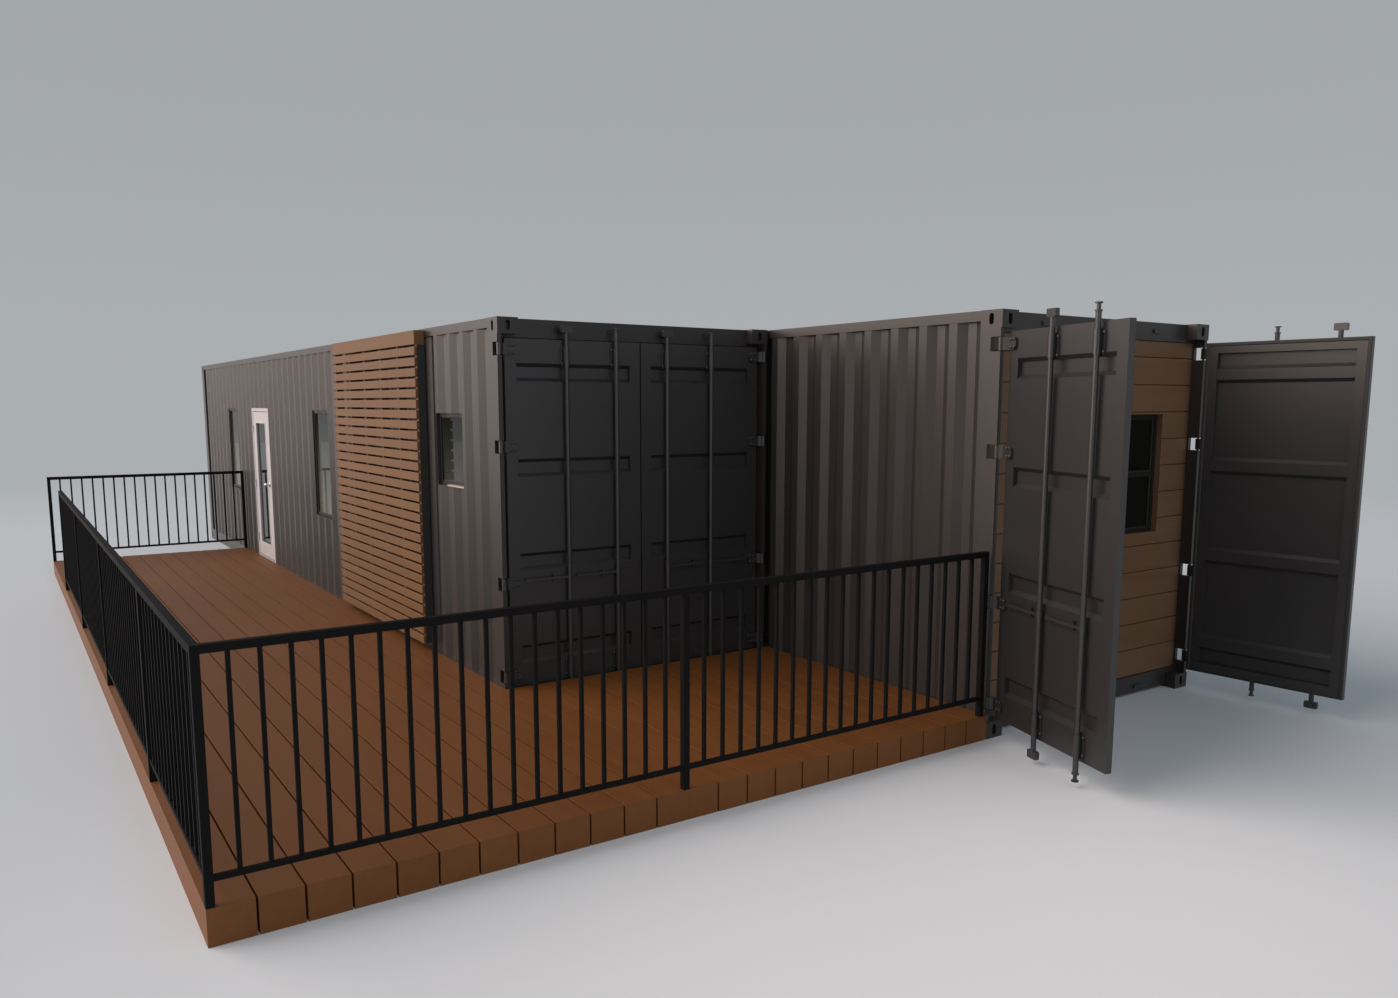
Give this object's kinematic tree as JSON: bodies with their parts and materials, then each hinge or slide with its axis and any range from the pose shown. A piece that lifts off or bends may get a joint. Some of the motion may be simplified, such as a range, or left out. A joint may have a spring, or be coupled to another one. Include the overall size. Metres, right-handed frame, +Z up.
{
  "type": "shipping container cabin",
  "caption": "Cabin of paired steel shipping containers with a timber deck, metal railings, a slatted screen, a glazed entry door, windows and open cargo doors.",
  "frame": {"origin": "middle of the foot of the main container's front left corner casting, on the ground", "axes": "+X across the containers to the right, +Y along them away from the cargo doors, +Z up"},
  "size_m": [7.4077, 15.8062, 2.896],
  "materials": {
    "container_paint": "charcoal steel paint, satin, over pressed sheet and welded frame",
    "floor_boards": "plywood floor, sealed",
    "cladding_timber": "stained horizontal boards, matte",
    "window_frame": "black painted frame, satin",
    "window_glass": "dark clear glass",
    "door_white": "white paint, satin",
    "door_fittings": "brushed steel",
    "screen_timber": "oiled slats, matte",
    "deck_timber": "stained heavy timber, matte",
    "railing_paint": "black powder coat"
  },
  "bodies": {
    "cabin": {"main_corner_castings": "container_paint", "main_corner_posts": "container_paint", "main_base_frame": "container_paint", "main_top_frame": "container_paint", "main_roof": "container_paint", "main_left_wall_front": "container_paint", "main_left_wall_over_door": "container_paint", "main_left_wall_rear": "container_paint", "main_right_wall": "container_paint", "main_rear_wall": "container_paint", "main_left_cargo_door": "container_paint", "main_right_cargo_door": "container_paint", "main_locking_bars": "container_paint", "annex_corner_castings": "container_paint", "annex_corner_posts": "container_paint", "annex_base_frame": "container_paint", "annex_top_frame": "container_paint", "annex_roof": "container_paint", "annex_left_wall": "container_paint", "annex_right_wall": "container_paint", "annex_rear_wall": "container_paint", "main_floor": "floor_boards", "annex_floor": "floor_boards", "main_end_wall": "cladding_timber", "annex_end_wall": "cladding_timber", "main_window_frames": "window_frame", "annex_window_frame": "window_frame", "main_window_panes": "window_glass", "annex_window_panes": "window_glass", "entry_door_frame": "door_white", "slat_screen": "screen_timber", "side_deck": "deck_timber", "front_deck": "deck_timber", "front_railing": "railing_paint", "side_railing": "railing_paint", "rear_railing": "railing_paint"},
    "annex_left_door": {"annex_left_cargo_door": "container_paint"},
    "annex_right_door": {"annex_right_cargo_door": "container_paint"},
    "annex_left_hinge_bar": {"annex_left_hinge_side_bar": "container_paint"},
    "annex_left_free_bar": {"annex_left_free_side_bar": "container_paint"},
    "annex_right_hinge_bar": {"annex_right_hinge_side_bar": "container_paint"},
    "annex_right_free_bar": {"annex_right_free_side_bar": "container_paint"},
    "entry_door": {"entry_door_leaf": "door_white", "entry_door_pane": "window_glass", "entry_door_knobs": "door_fittings"}
  },
  "joints": [
    {"name": "annex_left_door_hinge", "type": "hinge", "parent": "cabin", "child": "annex_left_door", "pos_m": [2.397, -2.507, 0], "axis": [0, 0, 1], "range_deg": [-56, 108]},
    {"name": "annex_right_door_hinge", "type": "hinge", "parent": "cabin", "child": "annex_right_door", "pos_m": [4.795, -2.507, 0], "axis": [0, 0, 1], "range_deg": [-94.5, 165.5]},
    {"name": "entry_door_hinge", "type": "hinge", "parent": "cabin", "child": "entry_door", "pos_m": [-0.093, 8.26, 0], "axis": [0, 0, 1], "range_deg": [-110, 0]},
    {"name": "annex_left_hinge_bar_turn", "type": "hinge", "parent": "annex_left_door", "child": "annex_left_hinge_bar", "pos_m": [2.23489, -3.02212, 0], "axis": [0, 0, 1], "range_deg": [0, 90]},
    {"name": "annex_left_free_bar_turn", "type": "hinge", "parent": "annex_left_door", "child": "annex_left_free_bar", "pos_m": [2.10324, -3.42727, 0], "axis": [0, 0, 1], "range_deg": [0, 90]},
    {"name": "annex_right_hinge_bar_turn", "type": "hinge", "parent": "annex_right_door", "child": "annex_right_hinge_bar", "pos_m": [4.83238, -3.04573, 0], "axis": [0, 0, 1], "range_deg": [-90, 0]},
    {"name": "annex_right_free_bar_turn", "type": "hinge", "parent": "annex_right_door", "child": "annex_right_free_bar", "pos_m": [4.86581, -3.47041, 0], "axis": [0, 0, 1], "range_deg": [-90, 0]}
  ]
}
